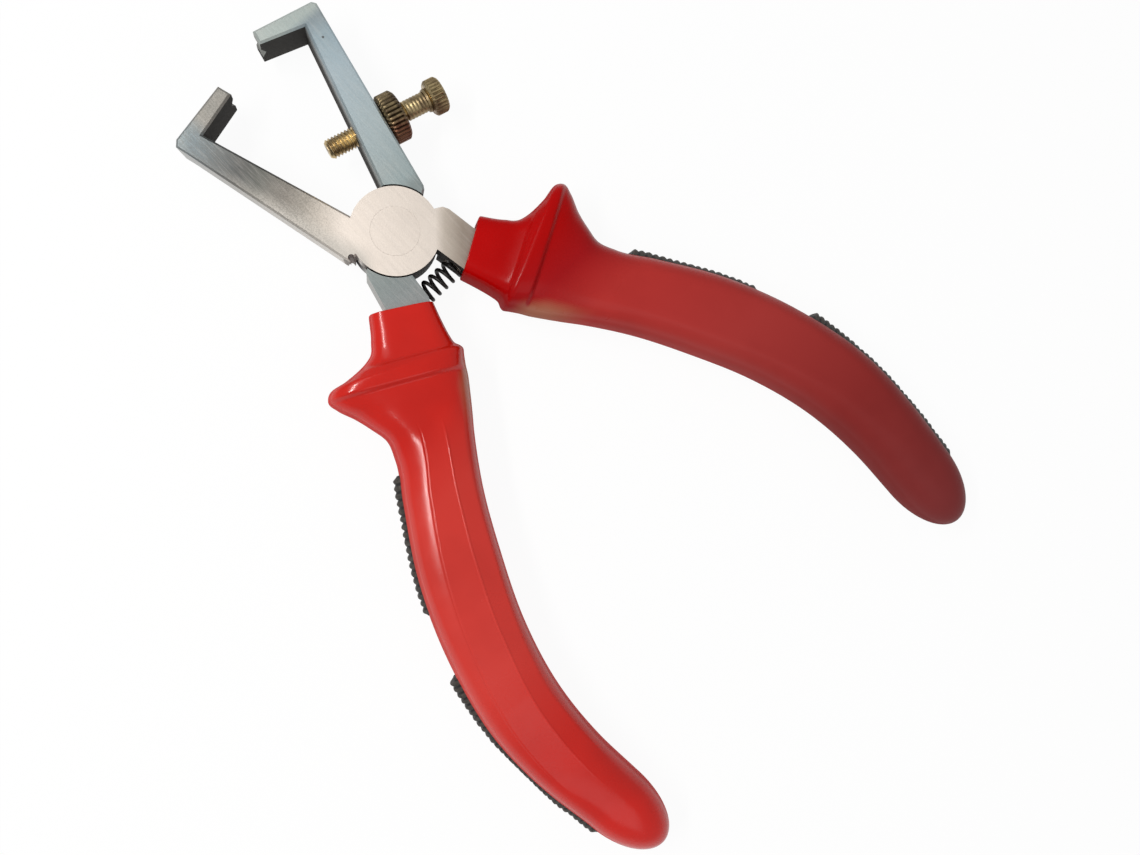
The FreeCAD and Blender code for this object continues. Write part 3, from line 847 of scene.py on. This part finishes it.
# Right grip: red with painted shade that darkens it towards the handle's end, and a painted shadow just
# behind the guard at 27 mm
red_right_painted_shade = moulded_red("moulded_red_right_painted_shade", 1, (
    (10.0, (0.47, 0.001, 0.001)), (20.0, (0.40, 0.001, 0.001)), (27.0, (0.33, 0.006, 0.008)),
    (36.0, (0.43, 0.03, 0.026)), (60.0, (0.36, 0.034, 0.03)), (85.0, (0.24, 0.022, 0.020)),
    (120.0, (0.185, 0.028, 0.028)),
), (0.22, 0.3, 0.25), 0.1)
rubber = black_rubber()
brass_screw = tarnished_brass("tarnished_brass_screw", (0.74, 0.58, 0.31), (0.29, 0.21, 0.12), 2500)
brass_nut = tarnished_brass("tarnished_brass_nut", (0.26, 0.20, 0.11), (0.08, 0.055, 0.036), 900)
wire = black_wire()

finishes = {"front_half": steel_front, "back_half": steel_back, "pivot_rivet": steel_rivet}
for node, finish in finishes.items():
    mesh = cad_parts[node].data
    mesh.materials.clear()
    mesh.materials.append(finish)

grip_shell("left_grip_shell", -1, red_left, True)
grip_shell("right_grip_shell", 1, red_right_painted_shade, False)
for word, side in (("left", -1), ("right", 1)):
    for place in ("upper", "lower"):
        pad_strip(word, side, place, rubber)
thumb_screw(brass_screw)
knurled_nut(brass_nut)
coil(wire)

# The photograph's frame: image right, image up and towards the viewer, in the part's own frame.
# The part lies turned about its pivot by this angle in radians.
TURN = 2.3405412
IMAGE = Matrix(((math.sin(TURN), math.cos(TURN), 0), (-math.cos(TURN), math.sin(TURN), 0), (0, 0, 1)))


def in_image(right, up, near):
    """Direction or place in the part's frame from image right, image up and towards the viewer."""
    return IMAGE.transposed() @ Vector((right, up, near))


def camera():
    """Camera at the photograph's place.  It tilts about image right and image up, and stands where
    the middle of the joint's front face falls on its own pixel.  The focal length is in pixels."""
    width, height = 1140, 855
    pivot_right, pivot_down = 395.099, 230.906
    focal, above_face = 1053.656, 197.595
    tilt = Matrix.Rotation(0.0242317, 3, "X") @ Matrix.Rotation(-0.1848373, 3, "Y")
    ray = tilt @ Vector(((pivot_right - width / 2) / focal, -(pivot_down - height / 2) / focal, -1))
    place = Vector((0, 0, FACE_Z)) - ray * (above_face / abs(ray.z))
    data = bpy.data.cameras.new("photo_camera")
    data.sensor_width = 36
    data.lens = focal * data.sensor_width / width
    data.clip_start = 0.005
    thing = bpy.data.objects.new("photo_camera", data)
    bpy.context.scene.collection.objects.link(thing)
    turned = (IMAGE.transposed() @ tilt).to_4x4()
    thing.matrix_world = Matrix.Translation(IMAGE.transposed() @ place * MM) @ turned
    bpy.context.scene.camera = thing


def soft_lamp(name, place, aim, size, power, colour):
    """Soft lamp of a width and height, at a place in the image's frame in metres, turned to an aim."""
    place = in_image(*place)
    aim = in_image(*aim)
    data = bpy.data.lights.new(name, "AREA")
    data.shape = "RECTANGLE"
    data.size, data.size_y = size
    data.energy = power
    data.color = colour
    thing = bpy.data.objects.new(name, data)
    bpy.context.scene.collection.objects.link(thing)
    away = (place - aim).normalized()
    across = in_image(0, 1, 0).cross(away).normalized()
    turned = Matrix((across, away.cross(across), away)).transposed().to_4x4()
    thing.matrix_world = Matrix.Translation(place) @ turned


def pale_floor():
    """Wide floor under the grips: white to the camera, and still holding a faint shadow."""
    low = cad_box[0][2] - 0.2 * MM
    reach = 4
    whiteness = 0.94
    corners = [(-reach, -reach, low), (reach, -reach, low), (reach, reach, low), (-reach, reach, low)]
    mesh = bpy.data.meshes.new("pale_floor")
    mesh.from_pydata(corners, [], [(0, 1, 2, 3)])
    thing = bpy.data.objects.new("pale_floor", mesh)
    bpy.context.scene.collection.objects.link(thing)
    material = bpy.data.materials.new("pale_floor")
    material.use_nodes = True
    tree = material.node_tree
    tree.nodes.clear()
    path = tree.nodes.new("ShaderNodeLightPath")
    seen = tree.nodes.new("ShaderNodeMath")
    seen.operation = "MAXIMUM"
    tree.links.new(path.outputs["Is Camera Ray"], seen.inputs[0])
    tree.links.new(path.outputs["Is Glossy Ray"], seen.inputs[1])
    through = tree.nodes.new("ShaderNodeMath")
    through.operation = "MAXIMUM"
    tree.links.new(seen.outputs[0], through.inputs[0])
    tree.links.new(path.outputs["Is Transmission Ray"], through.inputs[1])
    share = tree.nodes.new("ShaderNodeMath")
    share.operation = "MULTIPLY"
    share.inputs[1].default_value = whiteness
    tree.links.new(through.outputs[0], share.inputs[0])
    matt = tree.nodes.new("ShaderNodeBsdfDiffuse")
    matt.inputs["Color"].default_value = (0.9, 0.9, 0.9, 1)
    white = tree.nodes.new("ShaderNodeEmission")
    white.inputs["Color"].default_value = (1, 1, 1, 1)
    both = tree.nodes.new("ShaderNodeMixShader")
    tree.links.new(share.outputs[0], both.inputs[0])
    tree.links.new(matt.outputs[0], both.inputs[1])
    tree.links.new(white.outputs[0], both.inputs[2])
    out = tree.nodes.new("ShaderNodeOutputMaterial")
    tree.links.new(both.outputs[0], out.inputs["Surface"])
    mesh.materials.append(material)


def studio_world(level, reflected):
    """White to the camera, a plain even level on the part and a paler one in its reflections."""
    world = bpy.data.worlds.new("studio")
    bpy.context.scene.world = world
    world.use_nodes = True
    tree = world.node_tree
    back = tree.nodes["Background"]
    back.inputs["Color"].default_value = (1, 1, 1, 1)
    path = tree.nodes.new("ShaderNodeLightPath")
    seen = tree.nodes.new("ShaderNodeMath")
    seen.operation = "MAXIMUM"
    tree.links.new(path.outputs["Is Camera Ray"], seen.inputs[0])
    tree.links.new(path.outputs["Is Transmission Ray"], seen.inputs[1])
    shiny = tree.nodes.new("ShaderNodeMapRange")
    shiny.inputs["To Min"].default_value = level
    shiny.inputs["To Max"].default_value = reflected
    tree.links.new(path.outputs["Is Glossy Ray"], shiny.inputs["Value"])
    strength = tree.nodes.new("ShaderNodeMapRange")
    tree.links.new(shiny.outputs["Result"], strength.inputs["To Min"])
    strength.inputs["To Max"].default_value = 1.0
    tree.links.new(seen.outputs[0], strength.inputs["Value"])
    tree.links.new(strength.outputs["Result"], back.inputs["Strength"])


camera()
pale_floor()
studio_world(level=0.38, reflected=0.55)
soft_lamp("key_lamp", (-0.26, 0.20, 0.45), (0, -0.03, 0), (0.24, 0.24), 0.3, (1.0, 0.985, 0.96))
soft_lamp("fill_lamp", (0.15, -0.40, 0.50), (0, -0.03, 0), (0.40, 0.40), 0.55, (0.97, 0.985, 1.0))
soft_lamp("strip_lamp", (-0.205, -0.015, 0.385), (0, -0.04, 0), (0.022, 0.25), 1.12, (1.0, 0.99, 0.97))
bpy.context.scene.view_settings.view_transform = "Standard"
